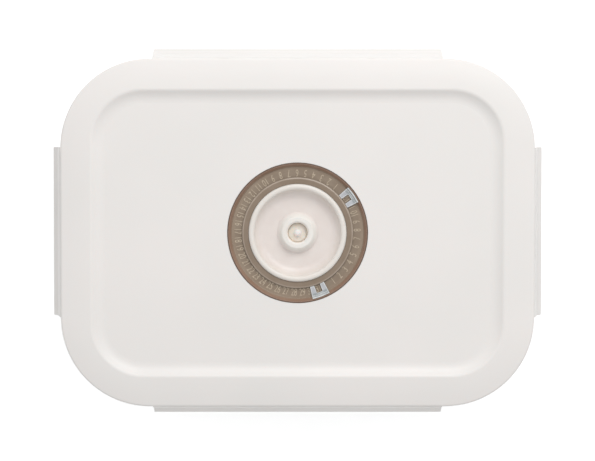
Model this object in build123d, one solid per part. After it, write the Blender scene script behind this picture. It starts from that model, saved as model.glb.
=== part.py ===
from build123d import *
import os
from math import atan2, cos, degrees, pi, radians, sin

# A rectangular food container for vacuum storage: a pressed glass bowl, a moulded lid with
# four side locks, a date dial with two sliding pointers and a valve dish for a hand pump.
# Millimetres, +Z up, X along the length. The origin is the middle of the base.

# Heights of the bowl and the lid
BOWL_HEIGHT = 62.0
RIM_FALL = 2.0
RECESS_DEPTH = 2.4
SKIRT_OVERLAP = 5.0

# Lid outline and its raised rim, seen from above
LID_LENGTH = 201.9
LID_WIDTH = 148.4
LID_CORNER = 38.0
RIM_WIDTH = 13.2
RIM_CREST_SLOPE_SHARE = 0.35
RIM_STEP_COUNT = 3
RIM_ROUNDING = 1.0
RECESS_CORNER = 22.3
RECESS_WALL_RUN = 3.4
CREST_ROUNDING = 1.6
RECESS_FILLET = 7.2

# Lid walls and the underside
PANEL_WALL = 2.2
SKIRT_WALL = 2.0
LOCK_WALL = 1.5
PLUG_WALL = 1.6
PLUG_GAP = 0.5
PLUG_DEPTH = 2.6
CORE_WIDTH = 1.6
CORE_DEPTH = 1.4
CORNER_CORE_HEIGHT = 4.4
RIB_WALL = 1.3
RIB_HEIGHT = 2.2
RIB_COUNT = 12

# Gasket in its groove above the glass rim
GASKET_HEIGHT = 2.6
GASKET_BEAD_HEIGHT = 0.6
GASKET_BEAD_WIDTH = 0.9
GASKET_SIDE_GAP = 0.15

# Bowl
FLANGE_GAP = 0.4
FLANGE_REACH = 3.0
FLANGE_HEIGHT = 4.0
BOWL_WALL = 3.8
BOWL_FLOOR = 4.5
BOWL_DRAFT_RUN = 8.0
BOWL_FOOT_ROUNDING = 8.0
BOWL_INNER_ROUNDING = 9.0
GLASS_EDGE_ROUNDING = 1.1
FOOT_WIDTH = 3.2
FOOT_HEIGHT = 0.8

# Side locks and the hinge bars that they snap on
LONG_LOCK_INSET = 1.05
LOCK_END_GAP = 0.5
BAR_RADIUS = 0.8
BAR_CLEARANCE = 0.08
CLIP_WALL = 0.62
CLIP_MOUTH_ANGLE = 96.0
CLIP_SIDE_GAP = 0.15
HINGE_INSET = 0.8
HINGE_RISE = 2.0
BAR_WEB = 1.6
BAR_WEB_HEIGHT = 1.0
BAR_WEB_GAP = 0.6
LONG_LOCK_WEB_COUNT = 3
SHORT_LOCK_WEB_COUNT = 1
LOCK_PLATE = 1.8
LOCK_FACE = 1.3
LOCK_DEPTH = 13.0
GRIP_HEIGHT = 3.2
GRIP_FLARE = 1.35
GRIP_EDGE = 1.3
LOCK_CORNER = 0.6
HOOK_BITE = 0.8
HOOK_GAP = 0.15
HOOK_NOSE = 0.6
HOOK_HEIGHT = 2.4
HOOK_END_INSET = 7.0
HOOK_SKIRT_GAP = 0.8
LOCK_RELEASE_ANGLE = 10.0
LOCK_OPEN_ANGLE = 95.0

# Date ring, lying in a round well in the middle of the lid
RING_RADIUS = 29.9
RING_FIT = 0.1
RING_THICKNESS = 3.5
RING_LIP = 0.6
TRACK_DEPTH = 2.0
TRACK_OUTER = 28.0
TRACK_INNER = 23.6
LAND_DEPTH = 0.8
LAND_EDGE_RUN = 0.55
LAND_EDGE_FALL = 0.25
UNDERCUT_REACH = 0.6
UNDERCUT_HEIGHT = 0.7
WELL_FLOOR = 1.8
WELL_WALL = 1.8
RING_KEY_COUNT = 3
RING_KEY_WIDTH = 4.0
RING_KEY_DEPTH = 1.0
RING_KEY_HEIGHT = 1.4
RING_KEY_GAP = 0.15

# Pointers that slide round the date ring
POINTER_ARC = 15.2
POINTER_THICKNESS = 0.7
POINTER_LIFT = 0.3
POINTER_SIDE_GAP = 0.15
POINTER_FOOT_GAP = 0.12
POINTER_CONE_GAP = 0.2
POINTER_BAR = 0.5
POINTER_TOP_GAP = 0.15
POINTER_FOOT_WIDTH = 0.7
POINTER_WINDOW_WIDTH = 2.6
POINTER_WINDOW_END = 27.0
MONTH_POINTER_ANGLE = 34.5
DAY_POINTER_ANGLE = -69.5

# Valve dish: the seat for the pump, with a boss round the valve
DISH_RADIUS = 20.85
DISH_GAP = 0.1
DISH_RIM_WIDTH = 2.3
DISH_RIM_CROWN = 0.7
DISH_RISE = 0.3
DISH_DEPTH = 4.9
DISH_FLOOR = 1.6
DISH_FLOOR_RADIUS = 14.4
BOSS_RADIUS = 7.2
BOSS_HEIGHT = 3.8
BOSS_FLARE = 1.6
PIT_RADIUS = 4.25
PIT_DEPTH = 3.2
SEAT_WEB = 1.2
BOSS_EDGE = 0.7
STEM_HOLE_RADIUS = 1.45
VENT_RADIUS = 0.42
VENT_CIRCLE = 2.65
VENT_COUNT = 6
TUBE_RADIUS = 4.6
TUBE_BORE = 3.2
TUBE_GAP = 0.2
TUBE_END = 0.6
DISH_WELL_FLOOR = 2.6

# Silicone valve, O-ring and retaining nut
VALVE_DISC_RADIUS = 3.9
VALVE_DISC = 0.8
VALVE_STEM_GAP = 0.15
NUB_RADIUS = 1.5
NUB_HEIGHT = 1.9
BARB_RADIUS = 2.1
BARB_HEIGHT = 1.5
VALVE_TRAVEL = 1.0
VALVE_STOP_GAP = 0.1
O_RING_INNER = 5.6
O_RING_WIDTH = 1.8
O_RING_HEIGHT = 1.5
O_RING_SIDE_GAP = 0.1
NUT_RADIUS = 8.4
NUT_HEIGHT = 3.0
NUT_CORNER = 1.0
NUT_BORE_GAP = 0.05

# Overrun shared by all cuts, and how closely a level is matched, as a share of a wall
OVERRUN = 1.0
LEVEL_SHARE = 0.0001

# Levels and radii that follow from the sizes above
ROOF_Z = BOWL_HEIGHT + GASKET_HEIGHT
PANEL_Z = ROOF_Z + PANEL_WALL
CREST_Z = PANEL_Z + RECESS_DEPTH
EDGE_Z = CREST_Z - RIM_FALL
SKIRT_Z = BOWL_HEIGHT - SKIRT_OVERLAP
LONG_LOCK = LID_LENGTH - 2 * (LID_CORNER + LONG_LOCK_INSET)
SHORT_LOCK = LID_WIDTH - 2 * LID_CORNER
HINGE_Z = BOWL_HEIGHT + HINGE_RISE
FLANGE_Z = BOWL_HEIGHT - FLANGE_HEIGHT
CLIP_RADIUS = BAR_RADIUS + BAR_CLEARANCE + CLIP_WALL
POCKET_DEPTH = HINGE_INSET + CLIP_RADIUS + CLIP_SIDE_GAP
SKIRT_INSET = POCKET_DEPTH + LOCK_WALL
FLANGE_INSET = SKIRT_INSET + FLANGE_GAP
BOWL_INSET = FLANGE_INSET + FLANGE_REACH
MOUTH_INSET = BOWL_INSET + BOWL_WALL
PLUG_INSET = MOUTH_INSET + PLUG_GAP
PLUG_INNER_INSET = PLUG_INSET + PLUG_WALL
PLUG_Z = BOWL_HEIGHT - PLUG_DEPTH
CORE_INSET = PLUG_INNER_INSET + CORE_WIDTH / 4
WELL_RADIUS = RING_RADIUS + RING_FIT
WELL_Z = PANEL_Z - RING_THICKNESS
RING_BORE = DISH_RADIUS + DISH_GAP
TRACK_Z = PANEL_Z - TRACK_DEPTH
LAND_Z = PANEL_Z - LAND_DEPTH
DISH_TOP_Z = PANEL_Z + DISH_RISE
DISH_FLOOR_Z = DISH_TOP_Z - DISH_DEPTH
DISH_Z = DISH_FLOOR_Z - DISH_FLOOR
BOSS_Z = DISH_FLOOR_Z + BOSS_HEIGHT
SEAT_Z = BOSS_Z - PIT_DEPTH
WEB_Z = SEAT_Z - SEAT_WEB
LID_BELOW_DISH_Z = DISH_Z - DISH_WELL_FLOOR
NUT_Z = LID_BELOW_DISH_Z - NUT_HEIGHT
TUBE_Z = NUT_Z - TUBE_END


def outline(inset, level):
    """The lid's outline drawn in by an inset, as a face at a level."""
    return Pos(0, 0, level) * RectangleRounded(
        LID_LENGTH - 2 * inset, LID_WIDTH - 2 * inset, LID_CORNER - inset
    )


def block(inset, low, high):
    """The lid's outline drawn in by an inset, as a block between two levels."""
    return extrude(outline(inset, low), high - low)


def band(outer_inset, inner_inset, low, high):
    """A closed band that follows the lid's outline."""
    return block(outer_inset, low, high) - block(inner_inset, low - OVERRUN, high + OVERRUN)


def disc(radius, low, high):
    """A round disc on the dial's axis between two levels."""
    return Pos(0, 0, low) * extrude(Circle(radius), high - low)


def turned(*points):
    """A solid of revolution about the dial's axis, from (radius, level) points."""
    profile = Plane.XZ * make_face(Polyline(*points, close=True))
    return revolve(profile, Axis.Z)


def edges_at(shape, level):
    """The level edges of a shape that lie at one height."""
    match = LEVEL_SHARE * PANEL_WALL
    return shape.edges().filter_by_position(Axis.Z, level - match, level + match)


def rim_outline(share):
    """The convex rim's outline, part way from its crest (0) out to the lid's edge (1)."""
    inset = RIM_WIDTH * (1 - share)
    corner = RECESS_CORNER + (LID_CORNER - RECESS_CORNER) * share
    slope_share = RIM_CREST_SLOPE_SHARE + (1 - RIM_CREST_SLOPE_SHARE) * share
    return Pos(0, 0, CREST_Z - RIM_FALL * share * slope_share) * RectangleRounded(
        LID_LENGTH - 2 * inset, LID_WIDTH - 2 * inset, corner
    )


def tapered(face, fall, run):
    """A face drawn down by a fall, while its outline draws in by a run."""
    return extrude(face, fall, dir=(0, 0, -1), taper=degrees(atan2(run, fall)))


def sides():
    """Each side of the lid: its name, turn about Z, half width, lock length and web count."""
    return (
        ("back", 0, LID_WIDTH / 2, LONG_LOCK, LONG_LOCK_WEB_COUNT),
        ("left", 90, LID_LENGTH / 2, SHORT_LOCK, SHORT_LOCK_WEB_COUNT),
        ("front", 180, LID_WIDTH / 2, LONG_LOCK, LONG_LOCK_WEB_COUNT),
        ("right", 270, LID_LENGTH / 2, SHORT_LOCK, SHORT_LOCK_WEB_COUNT),
    )


def hinge_place(turn, half):
    """Moves a shape drawn about its hinge, with +Y outward, to one side of the lid."""
    return Rot(0, 0, turn) * Pos(0, half - HINGE_INSET, HINGE_Z)


def along_hinge(sketch, length):
    """A profile in (outward, up), drawn out along the hinge and centred on it."""
    return extrude(Plane.YZ * sketch, length / 2, both=True)


def web_places(length, count):
    """Where the inner webs of a hinge bar stand along it."""
    pitch = length / (count + 1)
    return [pitch * (place + 1) - length / 2 for place in range(count)]


def glass_bowl():
    """The pressed glass bowl, with draft, a thick rim flange and a ring foot."""
    foot_inset = BOWL_INSET + BOWL_DRAFT_RUN
    body = tapered(outline(BOWL_INSET, FLANGE_Z), FLANGE_Z, BOWL_DRAFT_RUN)
    body = fillet(edges_at(body, 0), BOWL_FOOT_ROUNDING)
    body += block(FLANGE_INSET, FLANGE_Z, BOWL_HEIGHT)

    hollow_fall = FLANGE_Z - BOWL_FLOOR
    hollow_run = BOWL_DRAFT_RUN * hollow_fall / FLANGE_Z
    hollow = tapered(outline(MOUTH_INSET, FLANGE_Z), hollow_fall, hollow_run)
    hollow = fillet(edges_at(hollow, BOWL_FLOOR), BOWL_INNER_ROUNDING)
    hollow += block(MOUTH_INSET, FLANGE_Z, BOWL_HEIGHT + OVERRUN)
    body -= hollow
    body = fillet(edges_at(body, BOWL_HEIGHT), GLASS_EDGE_ROUNDING)
    body -= block(foot_inset + BOWL_FOOT_ROUNDING + FOOT_WIDTH, -OVERRUN, FOOT_HEIGHT)
    return body


def lid_gasket():
    """The silicone gasket: a flat band with two beads that press on the glass."""
    outer = SKIRT_INSET + GASKET_SIDE_GAP
    inner = PLUG_INSET - GASKET_SIDE_GAP
    gasket = band(outer, inner, BOWL_HEIGHT + GASKET_BEAD_HEIGHT, ROOF_Z)
    third = (inner - outer) / 3
    for place in (outer + third, inner - third):
        gasket += band(
            place - GASKET_BEAD_WIDTH / 2,
            place + GASKET_BEAD_WIDTH / 2,
            BOWL_HEIGHT,
            BOWL_HEIGHT + GASKET_BEAD_HEIGHT,
        )
    return gasket


def lid_crown():
    """The upper skin of the lid, solid: convex rim, sloping wall and flat panel."""
    crown = block(0, SKIRT_Z, EDGE_Z)
    crown += loft([rim_outline(1 - step / RIM_STEP_COUNT) for step in range(RIM_STEP_COUNT + 1)])
    crown = fillet(edges_at(crown, EDGE_Z), RIM_ROUNDING)
    crown -= tapered(rim_outline(0), RECESS_DEPTH, RECESS_WALL_RUN)
    crown = fillet(edges_at(crown, PANEL_Z), RECESS_FILLET)
    return fillet(edges_at(crown, CREST_Z), CREST_ROUNDING)


def lid_ribs():
    """Stiffening ribs under the panel, from the dial's well out to the core channel."""
    ribs = Part()
    for place in range(RIB_COUNT):
        rib = Pos(LID_LENGTH / 4, 0, ROOF_Z - RIB_HEIGHT / 2) * Box(
            LID_LENGTH / 2, RIB_WALL, RIB_HEIGHT
        )
        ribs += Rot(0, 0, 360 * (place + 0.5) / RIB_COUNT) * rib
    return ribs & block(CORE_INSET + CORE_WIDTH, ROOF_Z - RIB_HEIGHT, ROOF_Z)


def lock_pocket(length):
    """What one lock's pocket takes out of the lid, drawn about its hinge."""
    pocket_length = length + 2 * LOCK_END_GAP
    roof = CLIP_RADIUS + CLIP_SIDE_GAP
    floor = SKIRT_Z - OVERRUN - HINGE_Z
    width = POCKET_DEPTH + OVERRUN
    pocket = Pos(0, HINGE_INSET - POCKET_DEPTH + width / 2, (roof + floor) / 2) * Box(
        pocket_length, width, roof - floor
    )
    hook_top = FLANGE_Z + HOOK_SKIRT_GAP - HINGE_Z
    window_width = SKIRT_INSET + OVERRUN
    pocket += Pos(
        0, HINGE_INSET - SKIRT_INSET + window_width / 2 - OVERRUN, (hook_top + floor) / 2
    ) * Box(pocket_length, window_width, hook_top - floor)
    return pocket


def hinge_bar(length, webs):
    """The round bar that a lock snaps on, with webs back to the pocket's wall."""
    bar_length = length + 2 * LOCK_END_GAP + 2 * OVERRUN
    bar = along_hinge(Circle(BAR_RADIUS), bar_length)
    reach = POCKET_DEPTH - HINGE_INSET + LOCK_WALL / 2
    for place in web_places(length, webs):
        bar += Pos(place, -reach / 2, 0) * Box(BAR_WEB, reach, BAR_WEB_HEIGHT)
    return bar


def corner_cores():
    """Hollows behind the skirt's corners, which keep its wall even."""
    core = band(SKIRT_WALL, SKIRT_INSET + OVERRUN, SKIRT_Z - OVERRUN, SKIRT_Z + CORNER_CORE_HEIGHT)
    for long_side, half_across in ((LONG_LOCK, LID_WIDTH), (SHORT_LOCK, LID_LENGTH)):
        span = long_side + 2 * LOCK_END_GAP + 2 * SKIRT_WALL
        keep = Box(span, half_across + OVERRUN, 4 * CORNER_CORE_HEIGHT)
        turn = 0 if long_side == LONG_LOCK else 90
        core -= Pos(0, 0, SKIRT_Z) * Rot(0, 0, turn) * keep
    return core


def ring_keys(radius, width, low, high):
    """Short keys round the foot of the date ring, or their slots in the well."""
    keys = Part()
    for place in range(RING_KEY_COUNT):
        key = Pos(radius / 2, 0, (low + high) / 2) * Box(radius, width, high - low)
        keys += Rot(0, 0, 360 * place / RING_KEY_COUNT + 90) * key
    return keys


def lid_shell():
    """The moulded lid with its skirt, plug wall, dial well and hinge bars."""
    shell = lid_crown()
    shell -= block(SKIRT_INSET, SKIRT_Z - OVERRUN, ROOF_Z)
    shell += band(PLUG_INSET, PLUG_INNER_INSET, PLUG_Z, ROOF_Z)
    shell -= band(CORE_INSET, CORE_INSET + CORE_WIDTH, ROOF_Z - OVERRUN, ROOF_Z + CORE_DEPTH)
    shell += lid_ribs()
    shell += disc(WELL_RADIUS + WELL_WALL, WELL_Z - WELL_FLOOR, ROOF_Z)
    shell += disc(RING_BORE + WELL_WALL, LID_BELOW_DISH_Z, ROOF_Z)
    shell -= disc(WELL_RADIUS, WELL_Z, CREST_Z)
    shell -= disc(RING_BORE, DISH_Z, CREST_Z)
    shell -= disc(TUBE_RADIUS + TUBE_GAP, LID_BELOW_DISH_Z - OVERRUN, CREST_Z)
    groove_outer = O_RING_INNER + O_RING_WIDTH + O_RING_SIDE_GAP
    groove_inner = O_RING_INNER - O_RING_SIDE_GAP
    shell -= disc(groove_outer, DISH_Z - O_RING_HEIGHT, CREST_Z) - disc(
        groove_inner, LID_BELOW_DISH_Z, CREST_Z + OVERRUN
    )
    shell -= ring_keys(
        WELL_RADIUS + RING_KEY_DEPTH,
        RING_KEY_WIDTH + 2 * RING_KEY_GAP,
        WELL_Z,
        WELL_Z + RING_KEY_HEIGHT + RING_KEY_GAP,
    )
    shell -= corner_cores()
    for _, turn, half, length, webs in sides():
        place = hinge_place(turn, half)
        shell -= place * lock_pocket(length)
        shell += place * hinge_bar(length, webs)
    return shell


def lock_profile():
    """A lock's section in (outward, up) about its hinge, as it is when latched."""
    plate = make_face(
        Polyline(
            (LOCK_FACE, 0),
            (LOCK_FACE, GRIP_HEIGHT - LOCK_DEPTH),
            (LOCK_FACE + GRIP_FLARE, -LOCK_DEPTH),
            (LOCK_FACE + GRIP_FLARE - GRIP_EDGE, -LOCK_DEPTH),
            (LOCK_FACE - LOCK_PLATE, GRIP_HEIGHT - LOCK_DEPTH),
            (LOCK_FACE - LOCK_PLATE, 0),
            close=True,
        )
    )
    half_mouth = radians(CLIP_MOUTH_ANGLE / 2)
    reach = 2 * CLIP_RADIUS
    mouth = make_face(
        Polyline(
            (0, 0),
            (-reach * cos(half_mouth), reach * sin(half_mouth)),
            (-reach * cos(half_mouth), -reach * sin(half_mouth)),
            close=True,
        )
    )
    clip = Circle(CLIP_RADIUS) - mouth
    return plate + clip - Circle(BAR_RADIUS + BAR_CLEARANCE)


def hook_profile():
    """The hook that catches under the glass flange, with a ramp below."""
    top = FLANGE_Z - HOOK_GAP - HINGE_Z
    tip = HINGE_INSET - FLANGE_INSET - HOOK_BITE
    root = LOCK_FACE - LOCK_PLATE / 2
    return make_face(
        Polyline(
            (root, top),
            (tip, top),
            (tip, top - HOOK_NOSE),
            (LOCK_FACE - LOCK_PLATE, top - HOOK_HEIGHT),
            (root, top - HOOK_HEIGHT),
            close=True,
        )
    )


def web_sweep():
    """Where a bar's web passes through the clip from latched to open, as a section."""
    reach = CLIP_RADIUS + CLIP_SIDE_GAP
    half = BAR_WEB_HEIGHT / 2 + CLIP_SIDE_GAP
    web = Pos(-reach / 2, 0) * Rectangle(reach, 2 * half)
    quarter = Pos(-reach / 2, reach / 2) * Rectangle(reach, reach)
    return web + quarter + Rot(0, 0, -LOCK_RELEASE_ANGLE - LOCK_OPEN_ANGLE) * web


def lock(length, webs):
    """One lock about its hinge, hanging just released from the glass flange."""
    flap = along_hinge(lock_profile(), length)
    lower_corners = flap.edges().filter_by(Axis.Y).sort_by(Axis.Z)[:2]
    flap = fillet(lower_corners, LOCK_CORNER)
    flap += along_hinge(hook_profile(), length - 2 * HOOK_END_INSET)
    for place in web_places(length, webs):
        flap -= Pos(place, 0, 0) * along_hinge(web_sweep(), BAR_WEB + 2 * BAR_WEB_GAP)
    return Rot(LOCK_RELEASE_ANGLE, 0, 0) * flap


def cone_radius(level):
    """The radius of the date ring's sloping outer wall at a level."""
    run = RING_RADIUS - RING_LIP - TRACK_OUTER
    return TRACK_OUTER + run * (level - TRACK_Z) / TRACK_DEPTH


def date_ring():
    """The date ring: a sunk track between a sloping wall and an undercut land."""
    ring = turned(
        (RING_BORE, WELL_Z),
        (RING_RADIUS, WELL_Z),
        (RING_RADIUS, PANEL_Z),
        (RING_RADIUS - RING_LIP, PANEL_Z),
        (TRACK_OUTER, TRACK_Z),
        (TRACK_INNER - UNDERCUT_REACH, TRACK_Z),
        (TRACK_INNER - UNDERCUT_REACH, TRACK_Z + UNDERCUT_HEIGHT),
        (TRACK_INNER, TRACK_Z + UNDERCUT_HEIGHT),
        (TRACK_INNER, LAND_Z - LAND_EDGE_FALL),
        (TRACK_INNER - LAND_EDGE_RUN, LAND_Z),
        (RING_BORE, LAND_Z),
    )
    keys = ring_keys(
        WELL_RADIUS + RING_KEY_DEPTH - RING_KEY_GAP,
        RING_KEY_WIDTH,
        WELL_Z,
        WELL_Z + RING_KEY_HEIGHT,
    )
    return ring + (keys - disc(RING_RADIUS - RING_LIP, WELL_Z - OVERRUN, PANEL_Z))


def pointer(angle):
    """A U-shaped pointer, open to the middle, that rides in the ring's track."""
    under = TRACK_Z + POINTER_LIFT
    top = under + POINTER_THICKNESS
    crown = PANEL_Z - POINTER_TOP_GAP
    foot = TRACK_Z + POINTER_FOOT_GAP
    inner = TRACK_INNER + POINTER_SIDE_GAP
    toe = TRACK_INNER - UNDERCUT_REACH + POINTER_SIDE_GAP
    toe_top = TRACK_Z + UNDERCUT_HEIGHT - POINTER_FOOT_GAP
    outer_foot = cone_radius(foot) - POINTER_CONE_GAP
    slider = turned(
        (toe, foot),
        (inner + POINTER_FOOT_WIDTH, foot),
        (inner + POINTER_FOOT_WIDTH, under),
        (outer_foot - POINTER_FOOT_WIDTH, under),
        (outer_foot - POINTER_FOOT_WIDTH, foot),
        (outer_foot, foot),
        (cone_radius(crown) - POINTER_CONE_GAP, crown),
        (cone_radius(crown) - POINTER_CONE_GAP - POINTER_BAR, crown),
        (cone_radius(top) - POINTER_CONE_GAP - POINTER_BAR, top),
        (inner, top),
        (inner, toe_top),
        (toe, toe_top),
    )
    spread = RING_RADIUS * sin(radians(POINTER_ARC / 2)) / cos(radians(POINTER_ARC / 2))
    wedge = extrude(
        Pos(0, 0, WELL_Z)
        * make_face(Polyline((0, 0), (RING_RADIUS, -spread), (RING_RADIUS, spread), close=True)),
        RING_THICKNESS + OVERRUN,
    )
    slider = slider & wedge
    slider -= Pos(POINTER_WINDOW_END / 2, 0, TRACK_Z) * Box(
        POINTER_WINDOW_END, POINTER_WINDOW_WIDTH, 2 * RING_THICKNESS
    )
    return Rot(0, 0, angle) * slider


def valve_dish():
    """The dish that a hand pump sits in, with the valve's boss, seat and tube."""
    section = Polyline(
        (STEM_HOLE_RADIUS, WEB_Z),
        (TUBE_BORE, WEB_Z),
        (TUBE_BORE, TUBE_Z),
        (TUBE_RADIUS, TUBE_Z),
        (TUBE_RADIUS, DISH_Z),
        (DISH_RADIUS, DISH_Z),
        (DISH_RADIUS, DISH_TOP_Z - DISH_RIM_CROWN),
    )
    section += ThreePointArc(
        (DISH_RADIUS, DISH_TOP_Z - DISH_RIM_CROWN),
        (DISH_RADIUS - DISH_RIM_WIDTH / 2, DISH_TOP_Z),
        (DISH_RADIUS - DISH_RIM_WIDTH, DISH_TOP_Z - DISH_RIM_CROWN),
    )
    section += TangentArc(
        (DISH_FLOOR_RADIUS, DISH_FLOOR_Z),
        (DISH_RADIUS - DISH_RIM_WIDTH, DISH_TOP_Z - DISH_RIM_CROWN),
        tangent=(1, 0),
        tangent_from_first=True,
    )
    section += Polyline(
        (DISH_FLOOR_RADIUS, DISH_FLOOR_Z),
        (BOSS_RADIUS + BOSS_FLARE, DISH_FLOOR_Z),
        (BOSS_RADIUS, DISH_FLOOR_Z + BOSS_FLARE),
        (BOSS_RADIUS, BOSS_Z - BOSS_EDGE),
        (BOSS_RADIUS - BOSS_EDGE, BOSS_Z),
        (PIT_RADIUS + BOSS_EDGE, BOSS_Z),
        (PIT_RADIUS, BOSS_Z - BOSS_EDGE),
        (PIT_RADIUS, SEAT_Z),
        (STEM_HOLE_RADIUS, SEAT_Z),
        (STEM_HOLE_RADIUS, WEB_Z),
    )
    dish = revolve(Plane.XZ * make_face(section), Axis.Z)
    for place in range(VENT_COUNT):
        angle = 2 * pi * place / VENT_COUNT
        vent = disc(VENT_RADIUS, WEB_Z - OVERRUN, SEAT_Z + OVERRUN)
        dish -= Pos(VENT_CIRCLE * cos(angle), VENT_CIRCLE * sin(angle), 0) * vent
    return dish


def valve_poppet():
    """The silicone valve: a disc over the vents, a finger nub and a barbed stem."""
    stem = STEM_HOLE_RADIUS - VALVE_STEM_GAP
    barb_top = WEB_Z - VALVE_TRAVEL - VALVE_STOP_GAP
    disc_top = SEAT_Z + VALVE_DISC
    nub_top = disc_top + NUB_HEIGHT
    return turned(
        (0, barb_top - BARB_HEIGHT),
        (stem / 2, barb_top - BARB_HEIGHT),
        (BARB_RADIUS, barb_top),
        (stem, barb_top),
        (stem, SEAT_Z),
        (VALVE_DISC_RADIUS, SEAT_Z),
        (VALVE_DISC_RADIUS, SEAT_Z + VALVE_DISC / 2),
        (NUB_RADIUS, disc_top),
        (NUB_RADIUS, nub_top - NUB_RADIUS / 2),
        (NUB_RADIUS / 2, nub_top),
        (0, nub_top),
    )


def valve_o_ring():
    """The squeezed O-ring that seals the dish to the lid."""
    outer = O_RING_INNER + O_RING_WIDTH
    corner = O_RING_HEIGHT / 4
    low = DISH_Z - O_RING_HEIGHT
    return turned(
        (O_RING_INNER + corner, low),
        (outer - corner, low),
        (outer, low + corner),
        (outer, DISH_Z - corner),
        (outer - corner, DISH_Z),
        (O_RING_INNER + corner, DISH_Z),
        (O_RING_INNER, DISH_Z - corner),
        (O_RING_INNER, low + corner),
    )


def valve_nut():
    """The hexagonal nut that holds the dish's tube under the lid."""
    nut = Pos(0, 0, NUT_Z) * extrude(RegularPolygon(NUT_RADIUS, 6), NUT_HEIGHT)
    nut = fillet(nut.edges().filter_by(Axis.Z), NUT_CORNER)
    return nut - disc(TUBE_RADIUS + NUT_BORE_GAP, NUT_Z - OVERRUN, LID_BELOW_DISH_Z + OVERRUN)


def main():
    pieces = {
        "glass_bowl": glass_bowl(),
        "lid_shell": lid_shell(),
        "lid_gasket": lid_gasket(),
        "date_ring": date_ring(),
        "month_pointer": pointer(MONTH_POINTER_ANGLE),
        "day_pointer": pointer(DAY_POINTER_ANGLE),
        "valve_dish": valve_dish(),
        "valve_poppet": valve_poppet(),
        "valve_o_ring": valve_o_ring(),
        "valve_nut": valve_nut(),
    }
    for name, turn, half, length, webs in sides():
        pieces[name + "_lock"] = hinge_place(turn, half) * lock(length, webs)
    os.makedirs("parts", exist_ok=True)
    for name, piece in pieces.items():
        export_step(piece, "parts/" + name + ".step")


main()
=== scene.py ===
import math

import bpy
from mathutils import Matrix, Vector


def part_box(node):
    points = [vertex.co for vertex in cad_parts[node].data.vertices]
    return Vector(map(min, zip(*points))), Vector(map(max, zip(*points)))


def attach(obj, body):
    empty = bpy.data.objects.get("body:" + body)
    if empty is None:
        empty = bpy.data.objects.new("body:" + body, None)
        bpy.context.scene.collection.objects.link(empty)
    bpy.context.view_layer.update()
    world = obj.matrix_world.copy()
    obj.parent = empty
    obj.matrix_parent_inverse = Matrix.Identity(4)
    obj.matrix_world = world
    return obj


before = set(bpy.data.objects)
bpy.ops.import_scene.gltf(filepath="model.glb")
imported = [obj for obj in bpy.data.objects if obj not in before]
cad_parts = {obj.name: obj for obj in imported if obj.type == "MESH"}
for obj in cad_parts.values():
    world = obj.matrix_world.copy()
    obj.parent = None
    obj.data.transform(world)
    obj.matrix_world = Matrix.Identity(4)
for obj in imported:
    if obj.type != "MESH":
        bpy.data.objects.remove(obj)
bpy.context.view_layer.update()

MM = 0.001

# Places taken from the frame
RING_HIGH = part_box("date_ring")[1]
LID_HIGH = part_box("lid_shell")[1]
PANEL_Z = RING_HIGH.z
RING_RADIUS = RING_HIGH.x

# Dial: how deep its track lies below the panel, and where its bands of colour begin; some bands
# are painted shade and painted highlight
TRACK_DEPTH = 2.0 * MM
TRACK_INNER = 23.6 * MM
LAND_HIGHLIGHT_WIDTH = 0.55 * MM
NUMBER_BAND_RADIUS = 26.8 * MM
WALL_SHADE_RADIUS = 28.4 * MM
GAP_SHADE_WIDTH = 0.45 * MM

# Pointers: where their arms end and their body begins
POINTER_ARM_RADIUS = 26.9 * MM

# Raised numbers in the track: their pitch, their turn and the first places are in degrees
NUMBER_RADIUS = 25.6 * MM
NUMBER_SIZE = 4.5 * MM
NUMBER_RAISE = 0.1 * MM
NUMBER_SINK = 0.04 * MM
NUMBER_EDGE = 0.04 * MM
NUMBER_NARROW_SHARE = 0.6
NUMBER_PITCH = 8.0
NUMBER_TURN = 90.0
FIRST_MONTH_ANGLE = -53.5
FIRST_DAY_ANGLE = 50.5
MONTHS = 12
DAYS = 31

# Dish: where its pit, boss, wall and rim begin
NUB_RADIUS = 1.7 * MM
PIT_RADIUS = 4.3 * MM
BOSS_RADIUS = 8.0 * MM
DISH_WALL_RADIUS = 16.8 * MM
DISH_RIM_RADIUS = 18.4 * MM

# Noise values: the range that most of them lie in, and the range where two tones blend
NOISE_LOW = 0.3
NOISE_HIGH = 0.7
TONE_LOW = 0.35
TONE_HIGH = 0.65

# Edges: samples of a rounded normal, and the cosines of its turn where wear and painted edge
# highlight start and are full
BEVEL_SAMPLES = 4
WEAR_AND_HIGHLIGHT_START = 0.995
WEAR_AND_HIGHLIGHT_FULL = 0.90
POINTER_HIGHLIGHT_FULL = 0.965

# Plastic and glass
PLASTIC_IOR = 1.5
GLASS_IOR = 1.47
GLASS_TINT = (0.91, 0.96, 0.945, 1)
LID_SPECULAR = 0.4
LID_ROUGHNESS = 0.38
NUT_ROUGHNESS = 0.42
SUBSURFACE_SCALE = 1.5 * MM

# Photograph: its frame, and how wide the view is at the lid's top
PHOTO_WIDTH = 595
PHOTO_HEIGHT = 461
MM_PER_PIXEL = 0.425
DIAL_PIXEL_X = 297.6
DIAL_PIXEL_Y = 233.3

# Camera: lens and sensor in millimetres, tilt in degrees, reach in metres
LENS = 180.0
SENSOR = 36.0
VIEW_TILT = 3.2
CAMERA_REACH = 20.0

# Light: one soft key from the back right, in metres and watts, over the even world
KEY_PLACE = Vector((0.21, 0.64, 0.76))
KEY_WIDTH = 0.70
KEY_DEPTH = 0.55
KEY_POWER = 4.6
WORLD_LIGHT = 0.66
WORLD_WHITE = 1.0

# Floor: reach, drop below the foot, grey, and its glow to the camera and through the glass
FLOOR_REACH = 3.0
FLOOR_DROP = 0.1 * MM
FLOOR_GREY = 0.80
FLOOR_ROUGHNESS = 0.9
FLOOR_GLOW = 0.6
FLOOR_GLOW_IN_GLASS = 0.28

# How often light may turn inside the glass before it is lost
GLASS_TURNS = 24


# Material building blocks

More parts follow.
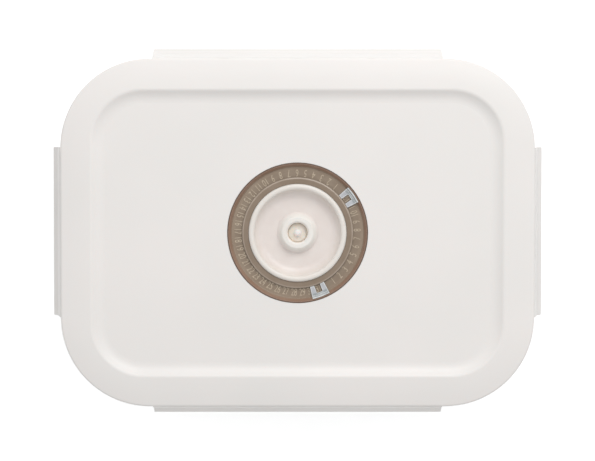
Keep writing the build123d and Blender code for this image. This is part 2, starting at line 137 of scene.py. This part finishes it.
def new_material(name):
    """A node material with one Principled shader: (material, nodes, links, shader)."""
    material = bpy.data.materials.new(name)
    material.use_nodes = True
    nodes = material.node_tree.nodes
    return material, nodes, material.node_tree.links, nodes["Principled BSDF"]


def coordinates(nodes, links, scale=(1, 1, 1)):
    """Object coordinates in metres, stretched by a scale."""
    source = nodes.new("ShaderNodeTexCoord")
    mapping = nodes.new("ShaderNodeMapping")
    mapping.inputs["Scale"].default_value = scale
    links.new(source.outputs["Object"], mapping.inputs["Vector"])
    return mapping.outputs["Vector"]


def combine(nodes, links, operation, *values):
    """The result of a maths node; each value is an output or a plain number."""
    node = nodes.new("ShaderNodeMath")
    node.operation = operation
    for value, socket in zip(values, node.inputs):
        if isinstance(value, float):
            socket.default_value = value
        else:
            links.new(value, socket)
    return node.outputs["Value"]


def noise(nodes, links, vector, size, detail=3.0, roughness=0.55):
    """Noise whose cells are about size metres across."""
    node = nodes.new("ShaderNodeTexNoise")
    node.inputs["Scale"].default_value = 1.0 / size
    node.inputs["Detail"].default_value = detail
    node.inputs["Roughness"].default_value = roughness
    links.new(vector, node.inputs["Vector"])
    return node.outputs["Fac"]


def rub_marks(nodes, links, vector):
    """Uneven patches where hands and cloths have rubbed a surface."""
    return noise(nodes, links, vector, size=5 * MM, detail=6.0, roughness=0.7)


def spread(nodes, links, value, low, high):
    """Maps a noise value to a range."""
    node = nodes.new("ShaderNodeMapRange")
    node.inputs["From Min"].default_value = NOISE_LOW
    node.inputs["From Max"].default_value = NOISE_HIGH
    node.inputs["To Min"].default_value = low
    node.inputs["To Max"].default_value = high
    links.new(value, node.inputs["Value"])
    return node.outputs["Result"]


def two_tones(nodes, links, value, first, second):
    """A colour that drifts between two tones with a noise value."""
    node = nodes.new("ShaderNodeValToRGB")
    node.color_ramp.elements[0].position = TONE_LOW
    node.color_ramp.elements[0].color = (*first, 1)
    node.color_ramp.elements[1].position = TONE_HIGH
    node.color_ramp.elements[1].color = (*second, 1)
    links.new(value, node.inputs["Fac"])
    return node.outputs["Color"]


def rounded_normal(nodes, edge):
    """The surface normal, rounded over sharp edges within a radius."""
    bevel = nodes.new("ShaderNodeBevel")
    bevel.samples = BEVEL_SAMPLES
    bevel.inputs["Radius"].default_value = edge
    return bevel.outputs["Normal"]


def soft_normal(nodes, links, shader, edge, *bumps):
    """Rounds sharp edges over a radius, then adds bumps of (height value, depth)."""
    normal = rounded_normal(nodes, edge)
    for height, depth in bumps:
        bump = nodes.new("ShaderNodeBump")
        bump.inputs["Strength"].default_value = 1.0
        bump.inputs["Distance"].default_value = depth
        links.new(height, bump.inputs["Height"])
        links.new(normal, bump.inputs["Normal"])
        normal = bump.outputs["Normal"]
    links.new(normal, shader.inputs["Normal"])


def edge_wear_and_highlight(nodes, links, patches, edge, full=WEAR_AND_HIGHLIGHT_FULL):
    """0 on open faces to 1 where a normal rounded over an edge turns by a cosine of full."""
    surface = nodes.new("ShaderNodeNewGeometry")
    match = nodes.new("ShaderNodeVectorMath")
    match.operation = "DOT_PRODUCT"
    links.new(rounded_normal(nodes, edge), match.inputs[0])
    links.new(surface.outputs["Normal"], match.inputs[1])
    turned = nodes.new("ShaderNodeMapRange")
    turned.inputs["From Min"].default_value = WEAR_AND_HIGHLIGHT_START
    turned.inputs["From Max"].default_value = full
    links.new(match.outputs["Value"], turned.inputs["Value"])
    patchy = spread(nodes, links, patches, low=0.5, high=1.0)
    return combine(nodes, links, "MULTIPLY", turned.outputs["Result"], patchy)


def rougher(nodes, links, base, wear, amount):
    """A roughness value raised by an amount where a surface is worn."""
    return combine(nodes, links, "MULTIPLY_ADD", wear, amount, base)


def radius_step(nodes, links, radius, blur):
    """0 inside a radius about the dial's axis and 1 outside it."""
    flat = nodes.new("ShaderNodeVectorMath")
    flat.operation = "MULTIPLY"
    flat.inputs[1].default_value = (1, 1, 0)
    links.new(coordinates(nodes, links), flat.inputs[0])
    length = nodes.new("ShaderNodeVectorMath")
    length.operation = "LENGTH"
    links.new(flat.outputs["Vector"], length.inputs[0])
    step = nodes.new("ShaderNodeMapRange")
    step.inputs["From Min"].default_value = radius - blur
    step.inputs["From Max"].default_value = radius + blur
    links.new(length.outputs["Value"], step.inputs["Value"])
    return step.outputs["Result"]


def blend_colours(nodes, links, share, first, second):
    """Blends two colours by a share output; each is an output or a plain tone."""
    node = nodes.new("ShaderNodeMix")
    node.data_type = "RGBA"
    links.new(share, node.inputs["Factor"])
    for colour, socket in ((first, node.inputs[6]), (second, node.inputs[7])):
        if isinstance(colour, tuple):
            socket.default_value = (*colour, 1)
        else:
            links.new(colour, socket)
    return node.outputs[2]


def ring_colours(nodes, links, middle, *bands):
    """The middle's colour, then that of each band of (radius where it begins, blur, colour)."""
    colour = middle
    for radius, blur, band in bands:
        inside = radius_step(nodes, links, radius, blur)
        colour = blend_colours(nodes, links, inside, colour, band)
    return colour


def subsurface(shader, weight, radius):
    """Lets light spread under the surface, by a share for red, green and blue."""
    shader.inputs["Subsurface Weight"].default_value = weight
    shader.inputs["Subsurface Radius"].default_value = radius
    shader.inputs["Subsurface Scale"].default_value = SUBSURFACE_SCALE


def tone(red, green, blue):
    """A colour written as the eye sees it, 0 to 255, turned to linear light."""
    def linear(value):
        share = value / 255
        return share / 12.92 if share <= 0.04045 else ((share + 0.055) / 1.055) ** 2.4
    return linear(red), linear(green), linear(blue)


# Materials

def moulded_white(name, first, second, worn, roughness):
    """Moulded white plastic with a faint flow pattern, handling marks and dull edges."""
    material, nodes, links, shader = new_material(name)
    place = coordinates(nodes, links)
    flow = noise(nodes, links, place, size=60 * MM, detail=2.0)
    fine = noise(nodes, links, place, size=0.9 * MM)
    wave = noise(nodes, links, place, size=22 * MM, detail=1.0)
    rub = rub_marks(nodes, links, place)
    wear = edge_wear_and_highlight(nodes, links, rub, edge=0.35 * MM)
    body = two_tones(nodes, links, flow, first, second)
    links.new(blend_colours(nodes, links, wear, body, worn), shader.inputs["Base Color"])
    gloss = spread(nodes, links, rub, low=roughness - 0.03, high=roughness + 0.04)
    links.new(rougher(nodes, links, gloss, wear, amount=0.12), shader.inputs["Roughness"])
    shader.inputs["IOR"].default_value = PLASTIC_IOR
    shader.inputs["Specular IOR Level"].default_value = LID_SPECULAR
    subsurface(shader, weight=0.08, radius=(1.0, 0.8, 0.7))
    soft_normal(nodes, links, shader, 0.3 * MM, (wave, 0.012 * MM), (fine, 0.0003 * MM))
    return material


def translucent_white(name):
    """Warm translucent white plastic of the pump dish, its floor pinker than its rims; the
    warmer tones of its pit and of its wall are painted shade.
    """
    material, nodes, links, shader = new_material(name)
    place = coordinates(nodes, links)
    cloud = noise(nodes, links, place, size=9 * MM, detail=2.0)
    fine = noise(nodes, links, place, size=0.7 * MM)
    open_dish = two_tones(nodes, links, cloud, tone(234, 226, 221), tone(230, 221, 216))
    # Painted shade: the wall's warmer, darker tone stands in for the warm shade under the
    # dish's rim.
    wall_shade_tone = two_tones(nodes, links, cloud, tone(232, 224, 218), tone(228, 219, 212))
    pale = two_tones(nodes, links, cloud, tone(238, 235, 230), tone(235, 231, 225))
    rim = two_tones(nodes, links, cloud, tone(232, 227, 221), tone(228, 223, 216))
    # Painted shade: the pit's warmer tone stands in for the warm shade in the pit.
    pit_shade = two_tones(nodes, links, cloud, tone(246, 235, 223), tone(243, 230, 216))
    colour = ring_colours(
        nodes,
        links,
        pit_shade,
        (PIT_RADIUS, 0.3 * MM, pale),
        (BOSS_RADIUS, 0.6 * MM, open_dish),
        (DISH_WALL_RADIUS, 0.9 * MM, wall_shade_tone),
        (DISH_RIM_RADIUS, 0.6 * MM, rim),
    )
    links.new(colour, shader.inputs["Base Color"])
    links.new(spread(nodes, links, fine, low=0.34, high=0.44), shader.inputs["Roughness"])
    shader.inputs["IOR"].default_value = PLASTIC_IOR
    subsurface(shader, weight=0.3, radius=(1.0, 0.9, 0.85))
    soft_normal(nodes, links, shader, 0.3 * MM, (fine, 0.0015 * MM))
    return material


def dial_plastic():
    """Satin taupe plastic of the date ring. Painted shade: a redder, darker sloping wall and a
    dark band at its outer edge for the gap's shadow. Painted highlight: a lighter band at the
    land's edge. Its lighter edges are partly rubbed wear and partly painted highlight.
    """
    material, nodes, links, shader = new_material("dial_taupe")
    place = coordinates(nodes, links)
    cloud = noise(nodes, links, place, size=6 * MM)
    grain = noise(nodes, links, place, size=0.22 * MM, detail=4.0, roughness=0.7)
    land = two_tones(nodes, links, cloud, tone(144, 127, 111), tone(137, 120, 103))
    # Painted highlight: a lighter band along the outer edge of the land.
    edge = two_tones(nodes, links, cloud, tone(176, 161, 146), tone(164, 148, 132))
    # A darker tone over the inner track, where the numbers stand.
    darker_inner_track = two_tones(nodes, links, cloud, tone(149, 133, 116), tone(141, 124, 107))
    track = two_tones(nodes, links, cloud, tone(157, 140, 122), tone(150, 132, 114))
    # Painted shade: the redder, darker wall tone stands in for the warm shade on the sloping
    # wall of the groove.
    wall_shade_tone = two_tones(nodes, links, cloud, tone(155, 127, 110), tone(148, 118, 100))
    colour = ring_colours(
        nodes,
        links,
        land,
        (TRACK_INNER - LAND_HIGHLIGHT_WIDTH, 0.1 * MM, edge),
        (TRACK_INNER, 0.1 * MM, darker_inner_track),
        (NUMBER_BAND_RADIUS, 0.4 * MM, track),
        (WALL_SHADE_RADIUS, 0.3 * MM, wall_shade_tone),
    )
    # Lighter edges on the ring: partly rubbed wear, partly a painted highlight.
    wear = edge_wear_and_highlight(nodes, links, cloud, edge=0.25 * MM)
    colour = blend_colours(nodes, links, wear, colour, tone(182, 167, 150))
    # Painted shadow: a dark band at the ring's outer edge stands in for the shade in the gap
    # between the ring and the lid's well.
    gap_shade = (RING_RADIUS - GAP_SHADE_WIDTH, 0.2 * MM, tone(106, 82, 67))
    links.new(ring_colours(nodes, links, colour, gap_shade), shader.inputs["Base Color"])
    links.new(spread(nodes, links, grain, low=0.30, high=0.44), shader.inputs["Roughness"])
    shader.inputs["IOR"].default_value = PLASTIC_IOR
    soft_normal(nodes, links, shader, 0.2 * MM, (grain, 0.012 * MM))
    return material


def number_plastic():
    """The raised numbers, painted lighter than the track round them as a highlight on their
    tops.
    """
    material, nodes, links, shader = new_material("number_taupe")
    place = coordinates(nodes, links)
    cloud = noise(nodes, links, place, size=1.5 * MM)
    # Painted highlight: the numbers' lighter tones stand in for the light on their raised tops.
    first, second = tone(196, 181, 160), tone(183, 167, 145)
    links.new(two_tones(nodes, links, cloud, first, second), shader.inputs["Base Color"])
    links.new(spread(nodes, links, cloud, low=0.30, high=0.42), shader.inputs["Roughness"])
    soft_normal(nodes, links, shader, 0.08 * MM)
    return material


def pointer_plastic():
    """Light grey satin pointer with paler arms; its near-white edges are a painted highlight,
    and its body's darker tone is painted shade on its sloping outer part.
    """
    material, nodes, links, shader = new_material("pointer_grey")
    place = coordinates(nodes, links)
    cloud = noise(nodes, links, place, size=2.2 * MM)
    grain = noise(nodes, links, place, size=0.12 * MM)
    body = two_tones(nodes, links, cloud, tone(156, 162, 164), tone(169, 174, 175))
    arms = two_tones(nodes, links, cloud, tone(180, 182, 186), tone(194, 196, 200))
    # Painted shade: the darker body tone stands in for the shade on the pointer's sloping outer
    # part.
    colour = ring_colours(nodes, links, arms, (POINTER_ARM_RADIUS, 0.3 * MM, body))
    # Painted highlight: near-white edges stand in for the light caught along the pointer's
    # edges.
    wear = edge_wear_and_highlight(nodes, links, cloud, edge=0.7 * MM, full=POINTER_HIGHLIGHT_FULL)
    colour = blend_colours(nodes, links, wear, colour, tone(246, 247, 246))
    links.new(colour, shader.inputs["Base Color"])
    gloss = spread(nodes, links, grain, low=0.20, high=0.32)
    links.new(rougher(nodes, links, gloss, wear, amount=0.08), shader.inputs["Roughness"])
    soft_normal(nodes, links, shader, 0.2 * MM, (grain, 0.003 * MM))
    return material


def silicone(name, first, second, nub=None):
    """Soft, slightly dusty silicone; a nub tone, when given, is a painted highlight on the nub
    in the middle.
    """
    material, nodes, links, shader = new_material(name)
    place = coordinates(nodes, links)
    cloud = noise(nodes, links, place, size=5 * MM)
    dust = noise(nodes, links, place, size=0.3 * MM, detail=4.0, roughness=0.7)
    colour = two_tones(nodes, links, cloud, first, second)
    # Painted highlight: the nub's whiter, cooler tone stands in for the light on its tip.
    if nub:
        colour = ring_colours(nodes, links, nub, (NUB_RADIUS, 0.5 * MM, colour))
    links.new(colour, shader.inputs["Base Color"])
    links.new(spread(nodes, links, dust, low=0.42, high=0.58), shader.inputs["Roughness"])
    subsurface(shader, weight=0.5, radius=(1.0, 0.7, 0.55))
    soft_normal(nodes, links, shader, 0.2 * MM, (dust, 0.004 * MM))
    return material


def pressed_glass():
    """Clear pressed glass with the faint unevenness of the mould."""
    material, nodes, links, shader = new_material("pressed_glass")
    swell = noise(nodes, links, coordinates(nodes, links), size=26 * MM, detail=2.0)
    rub = rub_marks(nodes, links, coordinates(nodes, links, scale=(1, 1, 6)))
    shader.inputs["Base Color"].default_value = GLASS_TINT
    shader.inputs["Transmission Weight"].default_value = 1.0
    shader.inputs["IOR"].default_value = GLASS_IOR
    links.new(spread(nodes, links, rub, low=0.0, high=0.03), shader.inputs["Roughness"])
    soft_normal(nodes, links, shader, 0.4 * MM, (swell, 0.10 * MM))
    return material


def dress(node, material):
    """Gives every slot of a CAD node a material."""
    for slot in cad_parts[node].material_slots:
        slot.material = material


def dress_pieces():
    """Gives each CAD node its material."""
    lid_tones = tone(235, 232, 229), tone(238, 234, 231), tone(229, 225, 220)
    lock_tones = tone(231, 228, 225), tone(235, 232, 229), tone(225, 221, 216)
    nut_tones = tone(228, 226, 222), tone(232, 230, 227), tone(222, 219, 214)
    # The valve's third tone is the nub's painted highlight.
    valve_tones = tone(244, 233, 222), tone(240, 227, 214), tone(236, 234, 232)
    lock_white = moulded_white("lock_white", *lock_tones, LID_ROUGHNESS)
    pointer = pointer_plastic()
    seal = silicone("seal_silicone", tone(238, 237, 233), tone(231, 230, 226))
    dress("lid_shell", moulded_white("lid_white", *lid_tones, LID_ROUGHNESS))
    for side in ("back", "left", "front", "right"):
        dress(side + "_lock", lock_white)
    dress("valve_nut", moulded_white("nut_white", *nut_tones, NUT_ROUGHNESS))
    dress("date_ring", dial_plastic())
    dress("month_pointer", pointer)
    dress("day_pointer", pointer)
    dress("valve_dish", translucent_white("dish_white"))
    dress("valve_poppet", silicone("valve_silicone", *valve_tones))
    dress("lid_gasket", seal)
    dress("valve_o_ring", seal)
    dress("glass_bowl", pressed_glass())


# Raised numbers on the dial

def number_mesh(text, angle, level):
    """One raised number in the track, its top towards the middle of the dial."""
    curve = bpy.data.curves.new("number", "FONT")
    curve.body = text
    curve.size = NUMBER_SIZE
    curve.align_x = "CENTER"
    curve.align_y = "CENTER"
    curve.extrude = (NUMBER_RAISE + NUMBER_SINK) / 2 - NUMBER_EDGE
    curve.bevel_depth = NUMBER_EDGE
    curve.bevel_resolution = 1
    curve.resolution_u = 4
    holder = bpy.data.objects.new("number", curve)
    mesh = bpy.data.meshes.new_from_object(holder)
    bpy.data.objects.remove(holder)
    turn = Matrix.Rotation(math.radians(angle + NUMBER_TURN), 4, "Z")
    place = Vector((0, -NUMBER_RADIUS, level + (NUMBER_RAISE - NUMBER_SINK) / 2))
    narrow = Matrix.Scale(NUMBER_NARROW_SHARE, 4, (1, 0, 0))
    mesh.transform(turn @ Matrix.Translation(place) @ narrow)
    return mesh


def join_meshes(name, meshes):
    """One object from several meshes."""
    joined = bpy.data.meshes.new(name)
    points, faces = [], []
    for mesh in meshes:
        start = len(points)
        points += [vertex.co.copy() for vertex in mesh.vertices]
        faces += [[start + index for index in face.vertices] for face in mesh.polygons]
        bpy.data.meshes.remove(mesh)
    joined.from_pydata(points, [], faces)
    joined.update()
    piece = bpy.data.objects.new(name, joined)
    bpy.context.scene.collection.objects.link(piece)
    return piece


def dial_numbers(material):
    """Months 1 to 12 and days 1 to 31, raised a little: the pointers' feet pass over them."""
    level = PANEL_Z - TRACK_DEPTH
    for name, count, first in (
        ("month_numbers", MONTHS, FIRST_MONTH_ANGLE),
        ("day_numbers", DAYS, FIRST_DAY_ANGLE),
    ):
        meshes = [
            number_mesh(str(number + 1), first + NUMBER_PITCH * number, level)
            for number in range(count)
        ]
        piece = join_meshes(name, meshes)
        piece.data.materials.append(material)
        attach(piece, "lid")


# Studio

def floor_white():
    """Pale matt floor that keeps a shadow and shows white to the camera.

    A ray that comes through glass counts as a glossy ray too.
    """
    material, nodes, links, shader = new_material("floor_white")
    shader.inputs["Base Color"].default_value = (FLOOR_GREY, FLOOR_GREY, FLOOR_GREY, 1)
    shader.inputs["Roughness"].default_value = FLOOR_ROUGHNESS
    shader.inputs["Specular IOR Level"].default_value = 0.0
    path = nodes.new("ShaderNodeLightPath").outputs
    seen = combine(nodes, links, "MAXIMUM", path["Is Camera Ray"], path["Is Glossy Ray"])
    loss = FLOOR_GLOW_IN_GLASS - FLOOR_GLOW
    through = combine(nodes, links, "MULTIPLY", path["Is Transmission Ray"], loss)
    glow = combine(nodes, links, "MULTIPLY_ADD", seen, FLOOR_GLOW, through)
    shader.inputs["Emission Color"].default_value = (1, 1, 1, 1)
    links.new(glow, shader.inputs["Emission Strength"])
    return material


def studio_floor():
    """A plain floor just below the foot."""
    mesh = bpy.data.meshes.new("floor")
    reach = FLOOR_REACH
    corners = [(-reach, -reach, 0), (reach, -reach, 0), (reach, reach, 0), (-reach, reach, 0)]
    mesh.from_pydata(corners, [], [(0, 1, 2, 3)])
    mesh.materials.append(floor_white())
    floor = bpy.data.objects.new("floor", mesh)
    bpy.context.scene.collection.objects.link(floor)
    floor.location.z = -FLOOR_DROP


def background(nodes, strength):
    """An even white background of a strength."""
    node = nodes.new("ShaderNodeBackground")
    node.inputs["Color"].default_value = (1, 1, 1, 1)
    node.inputs["Strength"].default_value = strength
    return node.outputs["Background"]


def studio_world():
    """Soft grey light from all round; white where the camera or glass sees it."""
    world = bpy.data.worlds.new("studio")
    world.use_nodes = True
    bpy.context.scene.world = world
    nodes, links = world.node_tree.nodes, world.node_tree.links
    nodes.clear()
    output = nodes.new("ShaderNodeOutputWorld")
    path = nodes.new("ShaderNodeLightPath").outputs
    seen = combine(nodes, links, "MAXIMUM", path["Is Camera Ray"], path["Is Transmission Ray"])
    mix = nodes.new("ShaderNodeMixShader")
    links.new(seen, mix.inputs["Fac"])
    links.new(background(nodes, WORLD_LIGHT), mix.inputs[1])
    links.new(background(nodes, WORLD_WHITE), mix.inputs[2])
    links.new(mix.outputs["Shader"], output.inputs["Surface"])


def key_light():
    """One soft rectangular light, aimed at the middle of the lid."""
    data = bpy.data.lights.new("key", "AREA")
    data.shape = "RECTANGLE"
    data.size = KEY_WIDTH
    data.size_y = KEY_DEPTH
    data.energy = KEY_POWER
    lamp = bpy.data.objects.new("key", data)
    lamp.location = KEY_PLACE
    aim = Vector((0, 0, LID_HIGH.z)) - KEY_PLACE
    lamp.rotation_euler = aim.to_track_quat("-Z", "Y").to_euler()
    bpy.context.scene.collection.objects.link(lamp)


def photo_camera():
    """The photograph's view: down from a long way off, a little from the back, +Y up."""
    view_width = PHOTO_WIDTH * MM_PER_PIXEL * MM
    distance = view_width * LENS / SENSOR
    data = bpy.data.cameras.new("photo_camera")
    data.lens = LENS
    data.sensor_width = SENSOR
    data.sensor_fit = "HORIZONTAL"
    data.clip_end = CAMERA_REACH
    camera = bpy.data.objects.new("photo_camera", data)
    right = (PHOTO_WIDTH / 2 - DIAL_PIXEL_X) * MM_PER_PIXEL * MM
    up = (DIAL_PIXEL_Y - PHOTO_HEIGHT / 2) * MM_PER_PIXEL * MM
    aim = Vector((right, up, LID_HIGH.z))
    tilt = math.radians(VIEW_TILT)
    camera.location = aim + distance * Vector((0, math.sin(tilt), math.cos(tilt)))
    camera.rotation_euler = (-tilt, 0, 0)
    bpy.context.scene.collection.objects.link(camera)
    bpy.context.scene.camera = camera


def main():
    bpy.context.scene.view_settings.view_transform = "Standard"
    light_paths = bpy.context.scene.cycles
    light_paths.max_bounces = GLASS_TURNS
    light_paths.glossy_bounces = GLASS_TURNS
    light_paths.transmission_bounces = GLASS_TURNS
    dress_pieces()
    dial_numbers(number_plastic())
    studio_floor()
    studio_world()
    key_light()
    photo_camera()


main()
